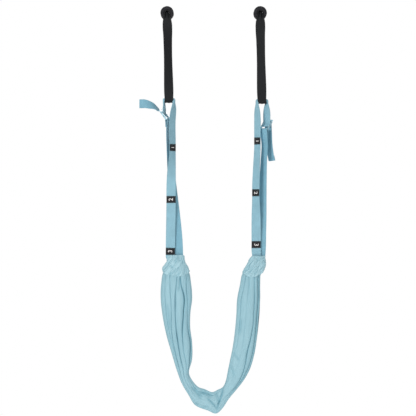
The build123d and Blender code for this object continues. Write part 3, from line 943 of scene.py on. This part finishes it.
class SLING_OT_anchors(MakesPieces, bpy.types.Operator):
    """Makes the foam rollers and gives their core tubes a finish"""

    bl_idname = "sling.anchors"
    bl_label = "Door anchors"

    def make(self):
        for side in SIDES:
            self.roller(side)
            dressed(frame["nodes"][f"{side}_anchor_core"], "core")

    def roller(self, side):
        low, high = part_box(f"{side}_anchor_roller")
        core_low, core_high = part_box(f"{side}_anchor_core")
        radius, bore = (high.x - low.x) / 2, (core_high.x - core_low.x) / 2
        clear_selection()
        bpy.ops.mesh.primitive_cylinder_add(
            vertices=96, radius=radius, depth=high.y - low.y, end_fill_type="NGON",
            location=(low + high) / 2, rotation=(math.radians(90), 0, 0),
        )
        piece = bpy.context.object
        piece.name = f"{side}_foam_roller"
        settle(piece)
        self.open_bore(piece, radius - bore)
        bevelled(piece, FOAM_EDGE, segments=6)
        edit_all(piece)
        bpy.ops.mesh.subdivide(number_cuts=1)
        bpy.ops.object.mode_set(mode="OBJECT")
        self.wear(piece, side, (low + high) / 2, bore + 2 * MM)
        outwards(piece)
        smoothed(piece, 50.0)
        finished(piece, "foam", "anchors", "foam", f"{side}_anchor_roller")

    def open_bore(self, piece, wall):
        """Insets both end faces, and joins what is left of them through the middle."""
        bpy.ops.object.mode_set(mode="EDIT")
        bpy.ops.mesh.select_mode(type="FACE")
        bpy.ops.mesh.select_all(action="DESELECT")
        bpy.ops.object.mode_set(mode="OBJECT")
        for face in piece.data.polygons:
            face.select = len(face.vertices) > 4
        bpy.ops.object.mode_set(mode="EDIT")
        bpy.ops.mesh.inset(thickness=FOAM_RIM, use_individual=True)
        bpy.ops.mesh.inset(thickness=wall - FOAM_RIM + FOAM_GRIP, use_individual=True)
        bpy.ops.mesh.bridge_edge_loops()
        bpy.ops.object.mode_set(mode="OBJECT")

    def wear(self, piece, side, centre, bore_edge):
        """Rubs the foam a little uneven, but not round the bore."""
        for vertex in piece.data.vertices:
            out = Vector((vertex.co.x - centre.x, 0, vertex.co.z - centre.z))
            if out.length > bore_edge:
                worn = noise.noise(vertex.co * 90 + Vector((7.0 * SIDES[side], 0, 0)))
                vertex.co += out.normalized() * worn * FOAM_WEAR
                facing = 1 if vertex.co.y > centre.y else -1
                vertex.co.y += noise.noise(vertex.co * 140) * FOAM_WEAR * facing


class SLING_OT_door_straps(MakesPieces, bpy.types.Operator):
    """Makes the dark straps threaded through the rollers, with the sewn joint at the back"""

    bl_idname = "sling.door_straps"
    bl_label = "Door straps"

    def make(self):
        thickness = sizes().strap_thickness
        for side in SIDES:
            body = f"{side}_strap"
            ribbon = Ribbon(strap_stations(side), 300)
            strap = ribbon.mesh(f"{side}_door_strap_webbing", thickness, columns=33)
            finished(strap, "strap", body, "door_webbing", f"{side}_door_strap", f"{side}_strap_overlap")
            rows = len(ribbon.at)
            top, foot = (nearest_row(ribbon, z, (rows - 60, rows)) for z in STRAP_OVERLAP)
            seams = [
                seam_across(ribbon, row, thickness, front=False) for row in (top, top + 3, foot - 3, foot)
            ]
            joint = np.arange(top, foot + 1)
            for start, end in ((-1, -1), (1, 1), (-1, 1), (1, -1)):
                shares = np.linspace(start * SEAM_SPREAD, end * SEAM_SPREAD, len(joint))
                seams.append(back_seam(ribbon, joint, shares, thickness))
            stitching(f"{side}_door_strap_stitching", seams, "dark_thread", body, "door_webbing")


class SLING_OT_loops(MakesPieces, bpy.types.Operator):
    """Makes the light webbing loops: the front ply, crown and outer leg in one, and the rear ply"""

    bl_idname = "sling.loops"
    bl_label = "Webbing loops"

    def make(self):
        thickness = sizes().webbing_thickness
        for side in SIDES:
            self.front(side, thickness)
            rear = self.rear(side, thickness)
            seams = self.rear_seams(side, rear, thickness)
            stitching(f"{side}_ply_stitching", seams, "pale_thread", f"{side}_loop", "sling_webbing")

    def front(self, side, thickness):
        """The front ply, crown and outer leg in one piece, with no body of its own."""
        loop = Ribbon(loop_stations(side), 300)
        piece = loop.mesh(f"{side}_loop_webbing", thickness, columns=33)
        nodes = [f"{side}_{node}" for node in ("crown", "front_leg", "rear_leg", "front_webbing")]
        finished(piece, "webbing", None, "sling_webbing", *nodes)
        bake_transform(piece)

    def rear(self, side, thickness):
        rear = Ribbon(rear_stations(side), 240)
        piece = rear.mesh(f"{side}_rear_webbing_ply", thickness, columns=25)
        nodes = [f"{side}_{node}" for node in ("rear_webbing", "sewn_end", "hem_roll")]
        # The rear ply takes the painted-shade copy of the light webbing.
        finished(piece, "rear_webbing", f"{side}_loop", "sling_webbing", *nodes)
        return rear

    def rear_seams(self, side, rear, thickness):
        """Two seams through the ply, and two that hold its end round the buckle's foot bar."""
        seams = []
        for z in DROPS[side]["rear_seams"]:
            row = nearest_row(rear, z)
            seams += [seam_across(rear, row, thickness, front) for front in (True, False)]
        bar_z = buckle_point(side, 0, -BUCKLE_BAR_STEP[1])[2]
        for z in (bar_z - 12, bar_z - 28):
            row = nearest_row(rear, z, (40, len(rear.at)))
            seams.append(seam_across(rear, row, thickness, True))
        return seams


TAB_THICKNESS = 0.7 * MM
TAB_LIFT = 0.45 * MM  # from the webbing's face to the tab's middle
NUMERAL_LIFT = 0.95 * MM  # and to the numeral's
NUMERAL_HEIGHT = 24 * MM
FRONT_PLY_ROWS = (0, 700)  # of a loop's 900 rows, those that run up to its crown
FRONT_PLY_TOP = -380  # above this height the front ply narrows towards the crown


class SLING_OT_labels(MakesPieces, bpy.types.Operator):
    """Makes the woven tabs, their numerals and the stitches that hold them"""

    bl_idname = "sling.labels"
    bl_label = "Numbered tabs"

    def make(self):
        thickness = sizes().webbing_thickness
        for side in SIDES:
            loop = Ribbon(loop_stations(side), 900)
            for number, (_, _, _, z) in enumerate(DROPS[side]["labels"], start=1):
                self.tab(side, loop, number, z, thickness)
                self.numeral(side, loop, number, z, thickness)

    def tab(self, side, loop, number, z, thickness):
        among = (0, nearest_row(loop, FRONT_PLY_TOP, FRONT_PLY_ROWS))
        low, high = (nearest_row(loop, z + s * LABEL_HALF, among) for s in (-1, 1))
        rows = np.linspace(low, high, 13).astype(int)
        share = np.linspace(-0.492, 0.492, 17)
        name = f"{side}_tab_{number}"
        piece = grid(name, len(rows), len(share))
        set_places(piece, loop.places(share, -(thickness / 2 + TAB_LIFT))[rows])
        along = np.repeat(loop.run * rows / len(loop.at), len(share))
        lay_out(piece, along, np.tile(share * loop.width, len(rows)))
        modified(piece, "SOLIDIFY", thickness=TAB_THICKNESS, offset=0.0)
        outwards(piece)
        bevelled(piece, 0.25 * MM)
        smoothed(piece, 50.0)
        finished(piece, "label", f"{side}_loop", "label", f"{side}_label_{number}")
        seams = []
        for row in (rows[0] - 9, rows[1], rows[-2], rows[-1] + 9):
            lift = thickness + (TAB_THICKNESS if row in rows else 0.0)
            seams.append(seam_across(loop, row, lift, front=False, spread=0.44))
        stitching(f"{name}_stitching", seams, "pale_thread", f"{side}_loop", "label")

    def numeral(self, side, loop, number, z, thickness):
        row = nearest_row(loop, z, FRONT_PLY_ROWS)
        clear_selection()
        bpy.ops.object.text_add()
        text = bpy.context.object
        text.data.body = str(number)
        text.data.size = NUMERAL_HEIGHT
        text.data.extrude, text.data.bevel_depth = 0.15 * MM, 0.1 * MM
        text.data.align_x, text.data.align_y = "CENTER", "CENTER"
        text.name = f"{side}_numeral_{number}"
        take(text)
        bpy.ops.object.convert(target="MESH")
        up = Vector(loop.across[row]) * DROPS[side]["numeral_up"]
        out = -Vector(loop.normal[row])
        place = Vector(loop.at[row]) + out * (thickness / 2 + NUMERAL_LIFT)
        turned = Matrix((up.cross(out), up, out)).transposed().to_4x4()
        text.matrix_world = Matrix.Translation(place) @ turned
        settle(text)
        smoothed(text, 30.0)
        finished(text, "numeral", f"{side}_loop", "label")


class SLING_OT_buckles(MakesPieces, bpy.types.Operator):
    """Gives the moulded buckles their finish"""

    bl_idname = "sling.buckles"
    bl_label = "Buckles"

    def make(self):
        for side in SIDES:
            for node in ("buckle", "buckle_lip"):
                dressed(frame["nodes"][f"{side}_{node}"], "buckle")


class SLING_OT_tails(MakesPieces, bpy.types.Operator):
    """Makes the loose webbing ends, each with its end folded back and sewn"""

    bl_idname = "sling.tails"
    bl_label = "Loose ends"

    def make(self):
        thickness = sizes().webbing_thickness
        for side in SIDES:
            body = f"{side}_tail"
            tail = Ribbon(tail_stations(side), 140)
            main = tail.mesh(f"{side}_tail_main", thickness)
            back = Ribbon(fold_stations(side), 16).mesh(f"{side}_tail_back", thickness)
            piece = joined(f"{side}_loose_end", [main, back])
            # The loose end takes the painted-shade copy of the light webbing.
            finished(piece, "rear_webbing", body, "sling_webbing", f"{side}_tail", f"{side}_tail_fold")
            seams = [
                seam_across(tail, len(tail.at) - from_end, thickness, front)
                for from_end in (5, 17) for front in (True, False)
            ]
            stitching(f"{side}_loose_end_stitching", seams, "pale_thread", body, "sling_webbing")


# ---- the cloth --------------------------------------------------------------------------------------
# The sling's outer and inner edges, from the left hem down, across the bottom and up to the right hem.
CLOTH_EDGES = [
    (-196, -1040, -110, -1040),
    (-206, -1060, -101, -1058),
    (-214, -1105, -93, -1100),
    (-216, -1170, -88, -1165),
    (-208, -1240, -95, -1222),
    (-193, -1315, -96, -1285),
    (-172, -1388, -88, -1350),
    (-149, -1464, -89, -1418),
    (-128, -1518, -101, -1468),
    (-103, -1560, -93, -1492),
    (-73, -1604, -64, -1527),
    (-24, -1624, -36, -1537),
    (12, -1636, -5, -1549),
    (38, -1613, 18, -1539),
    (60, -1579, 37, -1529),
    (88, -1545, 49, -1506),
    (122, -1502, 58, -1464),
    (148, -1455, 67, -1420),
    (166, -1395, 77, -1372),
    (177, -1325, 86, -1310),
    (184, -1240, 93, -1235),
    (190, -1165, 97, -1165),
    (190, -1110, 108, -1110),
    (192, -1066, 118, -1064),
    (196, -1046, 130, -1044),
]
CLOTH_DEPTHS = [
    36, 46, 54, 58, 57, 54, 50, 46, 44, 42, 40, 38, 36, 36, 38, 40, 42, 45, 47, 49, 51, 51, 49, 44, 34,
]
# Creases that run the cloth's whole length on its front, from the outer edge in: points x, z, and the
# crease's depth there.
LONG_CREASES = [
    [(-197, -1080, 2), (-196, -1190, 4), (-182, -1300, 3), (-152, -1410, 3), (-112, -1530, 1), (14, -1628, 1),
     (104, -1522, 2), (168, -1380, 3), (187, -1240, 4), (187, -1080, 2)],
    [(-178, -1071, 4), (-176, -1153, 5), (-171, -1223, 5), (-167, -1340, 5), (-141, -1455, 3),
     (-80, -1582, 1),
     (15, -1617, 1), (112, -1503, 5), (165, -1352, 7), (177, -1229, 8), (182, -1151, 10), (182, -1072, 6)],
    [(-149, -1085, 5), (-157, -1153, 8), (-157, -1195, 12), (-155, -1247, 5), (-149, -1320, 11),
     (-137, -1404, 8), (-123, -1469, 4), (-58, -1572, 1), (10, -1596, 1), (92, -1524, 5), (136, -1382, 8),
     (151, -1330, 7), (162, -1270, 6), (167, -1151, 6), (166, -1085, 4)],
    [(-136, -1090, 4), (-131, -1124, 9), (-120, -1153, 13), (-120, -1188, 13), (-124, -1247, 11),
     (-127, -1317, 8), (-124, -1380, 4), (-112, -1475, 3), (-48, -1562, 1), (5, -1580, 1), (75, -1500, 1),
     (125, -1300, 2), (140, -1150, 2)],
    [(-111, -1078, 4), (-112, -1129, 5), (-106, -1223, 3), (-95, -1355, 11), (-97, -1407, 12),
     (-101, -1449, 8), (-103, -1478, 4), (-62, -1546, 3), (-4, -1562, 3), (52, -1500, 1), (98, -1340, 2),
     (112, -1172, 4), (131, -1075, 3)],
]
# Shorter marks in the front: from x, z to x, z, then depth and half width.
MARKS = [
    (-137, -1078, -143, -1135, 4, 4),
    (-88, -1528, -50, -1570, 5, 7),
    (-56, -1549, -6, -1563, 5, 9),
    (-24, -1575, 12, -1614, 6, 4),
    (10, -1552, 19, -1588, 5, 6),
    (38, -1536, 15, -1618, 7, 4),
    (-76, -1594, -62, -1600, 4, 4),
    (-52, -1612, -20, -1606, 3, 6),
    (78, -1388, 102, -1416, 3, 5),
    (70, -1440, 82, -1480, 3, 6),
    (110, -1250, 106, -1310, 3, 8),
    (-190, -1190, -178, -1290, 3, 6),
]
FRONT_COLUMNS = (18, 18, 22, 23, 22, 20)  # in each strip between two creases
BACK_COLUMNS = ((14, 14), (16, 14, 6))  # in each strip behind, before the front's and after them
BACK_LINES = (0.2, 0.52, 0.8)  # where the back is creased, as shares of the way across
CLOTH_ROWS = 250
EDGE_LAP = 9.0  # how far one side edge of the cloth lies over the other, at the back
EDGE_RISE = 2.4  # and how far off it
FLATTER = 2.3  # power of the section's rim: 2 is an ellipse, and more is fuller
FULLEST_PUCKER = 6.5
PUCKER_REACH = (16, 70)  # least and most, from an end of the cloth

# Each hem from its mouth down: z, left end, right end, depth.
HEM_RINGS = {
    "left": [
        (-1012, -180, -130, 10), (-996, -184, -126, 15), (-989, -186, -124, 19), (-992, -189, -121, 23),
        (-1002, -190, -120, 27), (-1014, -192, -118, 32), (-1026, -199, -112, 38), (-1040, -207, -104, 44),
        (-1052, -210, -100, 48), (-1062, -209, -99, 49), (-1068, -206, -102, 46), (-1066, -203, -105, 40),
    ],
    "right": [
        (-1014, 166, 204, 10), (-1000, 162, 208, 15), (-992, 158, 210, 19), (-995, 155, 211, 23),
        (-1004, 148, 212, 27), (-1016, 141, 212, 32), (-1030, 134, 211, 38), (-1044, 127, 209, 44),
        (-1056, 122, 205, 47), (-1066, 118, 199, 48), (-1072, 118, 194, 45), (-1069, 121, 191, 38),
    ],
}
HEM_GRID = (100, 300)  # rows, and columns round
HEM_SEAMS = (0.73, 0.78)  # as shares of the way down
HEM_BOX = 0.8  # power of a hem's section: 1 is an ellipse, and less is squarer
HEM_MIDDLE = -1030


def valley(distance, depth):
    """A crease's profile: sharp in the middle, in a broad rounded hollow."""
    return depth * (0.62 * np.exp(-distance / 1.4) + 0.38 * np.exp(-distance / 6.5))


def mark_press(x, z, mark):
    """How far a short mark presses the front in at a point, in millimetres."""
    x0, z0, x1, z1, depth, half_width = mark
    run = math.hypot(x1 - x0, z1 - z0)
    along = ((x - x0) * (x1 - x0) + (z - z0) * (z1 - z0)) / run
    side = ((x - x0) * (z1 - z0) - (z - z0) * (x1 - x0)) / run + 1.6 * np.sin(along / 15.0)
    end = np.clip(np.minimum(along + 10, run + 10 - along) / 22, 0, 1)
    return depth * np.exp(-((side / half_width) ** 2)) * end * end * (3 - 2 * end)


def noise_field(u, v, seed):
    """Smooth noise over two arrays of the same shape."""
    flat = [noise.noise(Vector((a, b, seed))) for a, b in zip(u.reshape(-1), v.reshape(-1))]
    return np.array(flat).reshape(u.shape)


def eased(count):
    """Steps from 0 to 1, closer together at both ends."""
    step = np.arange(count + 1) / count
    return 0.4 * step + 0.6 * (1 - np.cos(np.pi * step)) / 2


class SLING_OT_cloth(MakesPieces, bpy.types.Operator):
    """Makes the sling's cloth, one sheet rolled up lengthwise and creased, with its gathered hems"""

    bl_idname = "sling.cloth"
    bl_label = "Sling cloth"

    def make(self):
        piece, flat = self.sheet()
        hems = [self.hem(side) for side in SIDES]
        seams = [self.hem_stitches(side) for side in SIDES]
        hems + seams

    def crease_on_rows(self, crease, outer, inner):
        """A crease's share of the way across, and its depth, on every row."""
        across = inner - outer
        width = (across**2).sum(1)
        rows, shares, depths = [], [], []
        for x, z, depth in crease:
            away = np.array([x, z]) - outer
            share = (away * across).sum(1) / width
            miss = np.linalg.norm(away - share[:, None] * across, axis=1)
            row = int(np.argmin(miss + 1000 * (np.abs(share - 0.5) > 0.6)))
            rows.append(row)
            shares.append(share[row])
            depths.append(depth)
        order = np.argsort(rows)
        every = np.arange(len(outer))
        at = np.array(rows)[order]
        smooth = np.hanning(17) / np.hanning(17).sum()
        lines = []
        for values in (np.array(shares)[order], np.array(depths, float)[order]):
            padded = np.pad(np.interp(every, at, values), 8, mode="edge")
            lines.append(np.convolve(padded, smooth, mode="valid"))
        return lines

    def back_creases(self):
        """Creases that wander down the back, each as its share of the way across and its depth."""
        creases = []
        for number, share in enumerate(BACK_LINES):
            every, none = np.arange(CLOTH_ROWS), np.zeros(CLOTH_ROWS)
            wander = noise_field(every / 45, none + number * 3.1, 0.7)
            deep = noise_field(every / 30, none + number * 2.3, 5.7)
            creases.append([share + 0.16 * wander, np.clip(5 + 11 * deep, 0.5, 12)])
        return creases

    def columns(self, front, back, lap):
        """Each column's share of the way across on every row, and whether it is in front or folded over.

        The columns run from one side edge at the back, round the outer edge to the front, and back again.
        """
        zero, one = np.zeros(CLOTH_ROWS), np.ones(CLOTH_ROWS)
        stations = [back[1][0] + lap / 2 - 0.1, back[0][0], zero]
        stations += [share for share, _ in front] + [one, back[2][0], back[1][0], back[1][0] - lap / 2 - 0.1]
        before, after = BACK_COLUMNS
        shares = [stations[0][:, None]]
        for start, end, count in zip(stations, stations[1:], (*before, *FRONT_COLUMNS, *after)):
            shares.append(start[:, None] + (end - start)[:, None] * eased(count)[None, 1:])
        share = np.hstack(shares)
        first = sum(before)
        last = first + sum(FRONT_COLUMNS)
        number = np.arange(share.shape[1])
        facing = np.where((number > first) & (number < last), -1.0, 1.0)[None, :]
        return share, facing, (number > last + sum(after[:2]) - 2)[None, :]

    def sheet(self):
        edges = np.array(CLOTH_EDGES, float)
        spine = np.stack([edges[:, [0, 2]].mean(1), edges[:, [1, 3]].mean(1), 0 * edges[:, 0]], axis=1)
        depths = np.array(CLOTH_DEPTHS, float)[:, None]
        line, run = smooth_rows(np.hstack([spine, edges, depths]), CLOTH_ROWS)
        outer, inner, thick = line[:, 3:5], line[:, 5:7], line[:, 7]
        wide = np.linalg.norm(inner - outer, axis=1)[:, None]
        front = [self.crease_on_rows(crease, outer, inner) for crease in LONG_CREASES]
        back = self.back_creases()
        share, facing, folded_over = self.columns(front, back, EDGE_LAP / wide[:, 0])
        shape = np.sqrt(np.clip(1 - np.abs(2 * share - 1) ** FLATTER, 0, 1))
        flat = outer[:, None, :] * (1 - share[..., None]) + inner[:, None, :] * share[..., None]
        press = np.zeros(share.shape)
        for lines, side in ((front, -1.0), (back, 1.0)):
            for line_share, depth in lines:
                away = np.abs(share - line_share[:, None]) * wide
                press += (facing == side) * valley(away, depth[:, None])
        press += (facing < 0) * sum(mark_press(flat[..., 0], flat[..., 1], mark) for mark in MARKS)
        u = np.repeat(np.linspace(0, run, CLOTH_ROWS)[:, None], share.shape[1], axis=1)
        across_mm = share * wide
        press += self.puckers(u, across_mm, run)
        ripple = 1.5 * noise_field(u / 70, across_mm / 9, 6.1)
        ripple += 0.45 * noise_field(u / 24, across_mm / 4, 3.3)
        deep = thick[:, None] / 2 * shape - press * np.clip(shape * 1.6, 0, 1) + ripple * shape
        y = facing * np.maximum(deep, -2) + folded_over * EDGE_RISE
        places = np.stack([flat[..., 0], y, flat[..., 1]], axis=-1) * MM
        piece = grid("sling_cloth_sheet", CLOTH_ROWS, share.shape[1])
        set_places(piece, places)
        girth = np.linalg.norm(np.diff(places, axis=1), axis=2)
        along_sheet = np.hstack([np.zeros((CLOTH_ROWS, 1)), np.cumsum(girth, axis=1)])
        lay_out(piece, u * MM, along_sheet)
        # Painted shade: darker where creases, marks and gathers press the cloth in, and towards the rims of
        # the roll's section.
        set_attribute(piece, "fold_shade", np.clip(0.88 - press / 10.0 - 0.35 * (1 - shape) ** 2, 0, 1))
        modified(piece, "SOLIDIFY", thickness=sizes().cloth_thickness, offset=0.0)
        outwards(piece)
        smoothed(piece, 180.0)
        finished(piece, "cloth", "sling", "sling_cloth", "sling_cloth")
        width = float(np.median(along_sheet[:, -1]))
        return piece, (round(width, 2), round(run * MM, 2))

    def puckers(self, u, across_mm, run):
        """How far the gathers at both ends press the cloth in, less and less along it."""
        waves = np.abs(np.sin(across_mm / 2.1 + 3.0 * noise_field(u / 60, across_mm / 17, 1.1)))
        reach = np.clip(34 + 44 * noise_field(0 * u, across_mm / 6, 4.4), *PUCKER_REACH)
        return FULLEST_PUCKER * (1 - waves) ** 1.2 * np.exp(-np.minimum(u, run - u) / reach)

    def hem_surface(self, side):
        """Rings of points down a hem, and its painted shade: lighter where a point stands out of the folds.
        """
        rows, columns = HEM_GRID
        rings = np.array(HEM_RINGS[side], float)
        path = np.stack([rings[:, 1], rings[:, 0], rings[:, 3]], axis=1)
        line, _ = smooth_rows(np.hstack([path, rings]), rows)
        z, left, right, depth = (line[:, k][:, None] for k in (3, 4, 5, 6))
        angle = np.linspace(0, 2 * np.pi, columns, endpoint=False)[None, :]
        cx, sy = (np.sign(wave) * np.abs(wave) ** HEM_BOX for wave in (np.cos(angle), np.sin(angle)))
        x = (left + right) / 2 + (right - left) / 2 * cx
        y = depth / 2 * sy
        z = z + 0 * x
        down = np.arange(rows)[:, None] / rows
        fade = np.clip((down - 0.05) * 6.4, 0, 1)
        low = np.clip((down - 0.6) / 0.4, 0, 1)
        ridge, fine = self.hem_gathers(side, x, y, z, x - rings[:, 1:3].mean())
        sag = noise_field(x / 20, z / 22 + y / 24, 5.0)
        bump = fade * (3.2 * (ridge - 0.7) + 0.8 * fine + 2.6 * sag) - 1.6 * low * low
        ragged = 5.5 * noise_field(x / 17, y / 25, 12.0 + SIDES[side])
        ragged += 5.0 * noise_field(x / 4.5, y / 9, 2.0)
        bow = 17.0 * ((2 * x - left - right) / (right - left)) ** 2 - 8.0
        z = z + low * (ragged + bow)
        normal = np.stack([cx * depth / 2, sy * (right - left) / 2], axis=-1)
        normal /= np.linalg.norm(normal, axis=-1)[..., None] + 1e-9
        x, y = x + normal[..., 0] * bump * 0.7, y + normal[..., 1] * bump
        places = np.stack([x, y, z + 0.8 * fade * fine], axis=-1) * MM
        # Painted shade: lighter on the gathers' ridges, with random tone from the fine crinkles.
        return places, np.clip(0.45 + ridge * 0.7 + 0.2 * fine, 0, 1.2)

    def hem_gathers(self, side, x, y, z, from_middle):
        """Gathers that fan out from the webbing, broad ridges and fine ones.

        They stand upright on the left hem's inner flank.
        """
        up = z - HEM_MIDDLE
        upright = np.clip((from_middle - 4) / 26, 0, 1) * (side == "left")
        across = from_middle * (0.78 + 0.22 * upright) - up * 0.6 * (1 - 0.75 * upright)
        along = from_middle * 0.6 + up * 0.8
        crinkle = noise_field(across / 5.4, along / 50 + y / 30, 3.0 + SIDES[side])
        fine = noise_field(across / 2.6, along / 22 + y / 14, 9.0 + SIDES[side])
        return np.sin(np.pi / 2 * np.clip(3.2 * np.abs(crinkle), 0, 1)), fine

    def hem(self, side):
        rows, columns = HEM_GRID
        places, fold_shade = self.hem_surface(side)
        faces = []
        for i in range(rows - 1):
            for j in range(columns):
                a, b = i * columns + j, i * columns + (j + 1) % columns
                faces.append((a, b, b + columns, a + columns))
        piece = from_points(f"{side}_hem_gather", places.reshape(-1, 3), faces)
        # Painted shade for the hem's finish.
        set_attribute(piece, "fold_shade", fold_shade)
        along, across = np.linspace(0, 90 * MM, rows), np.linspace(0, 620 * MM, columns)
        lay_out(piece, np.repeat(along, columns), np.tile(across, rows))
        modified(piece, "SOLIDIFY", thickness=sizes().cloth_thickness * 1.4, offset=-1.0)
        outwards(piece)
        smoothed(piece, 180.0)
        finished(piece, "cloth", None, "sling_cloth", f"{side}_gathered_hem")
        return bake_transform(piece)

    def hem_stitches(self, side):
        places, _ = self.hem_surface(side)
        seams = []
        for down in HEM_SEAMS:
            row = places[int(HEM_GRID[0] * down)]
            ring = np.vstack([row, row[:1]])
            normals = ring - ring.mean(0)
            normals[:, 2] = 0
            normals /= np.linalg.norm(normals, axis=1)[:, None]
            seams.append((ring + normals * 0.5 * MM, normals))
        name = f"{side}_hem_stitching"
        return stitching(name, seams, "cloth_thread", "sling", "sling_cloth", step=3.4 * MM)


class SLING_PT_panel(bpy.types.Panel):
    """Lists the pieces, the sizes and the colours"""

    bl_label = "Door stretch sling"
    bl_idname = "SLING_PT_panel"
    bl_space_type = "VIEW_3D"
    bl_region_type = "UI"
    bl_category = "Sling"

    def draw(self, context):
        for operator in OPERATORS:
            self.layout.operator(operator.bl_idname)
        for group in (context.scene.sling_sizes, context.scene.sling_colours):
            box = self.layout.box()
            for name in type(group).__annotations__:
                box.prop(group, name)


OPERATORS = (
    SLING_OT_stage,
    SLING_OT_anchors,
    SLING_OT_door_straps,
    SLING_OT_loops,
    SLING_OT_labels,
    SLING_OT_buckles,
    SLING_OT_tails,
    SLING_OT_cloth,
)
CLASSES = (SlingSizes, SlingColours, *OPERATORS, SLING_PT_panel)


def register():
    for kind in CLASSES:
        bpy.utils.register_class(kind)
    bpy.types.Scene.sling_sizes = bpy.props.PointerProperty(type=SlingSizes)
    bpy.types.Scene.sling_colours = bpy.props.PointerProperty(type=SlingColours)


def unregister():
    del bpy.types.Scene.sling_colours
    del bpy.types.Scene.sling_sizes
    for kind in reversed(CLASSES):
        bpy.utils.unregister_class(kind)


def main():
    register()
    for operator in OPERATORS:
        group, name = operator.bl_idname.split(".")
        getattr(getattr(bpy.ops, group), name)()
    bpy.context.view_layer.update()
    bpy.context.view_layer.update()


if __name__ == "__main__":
    main()
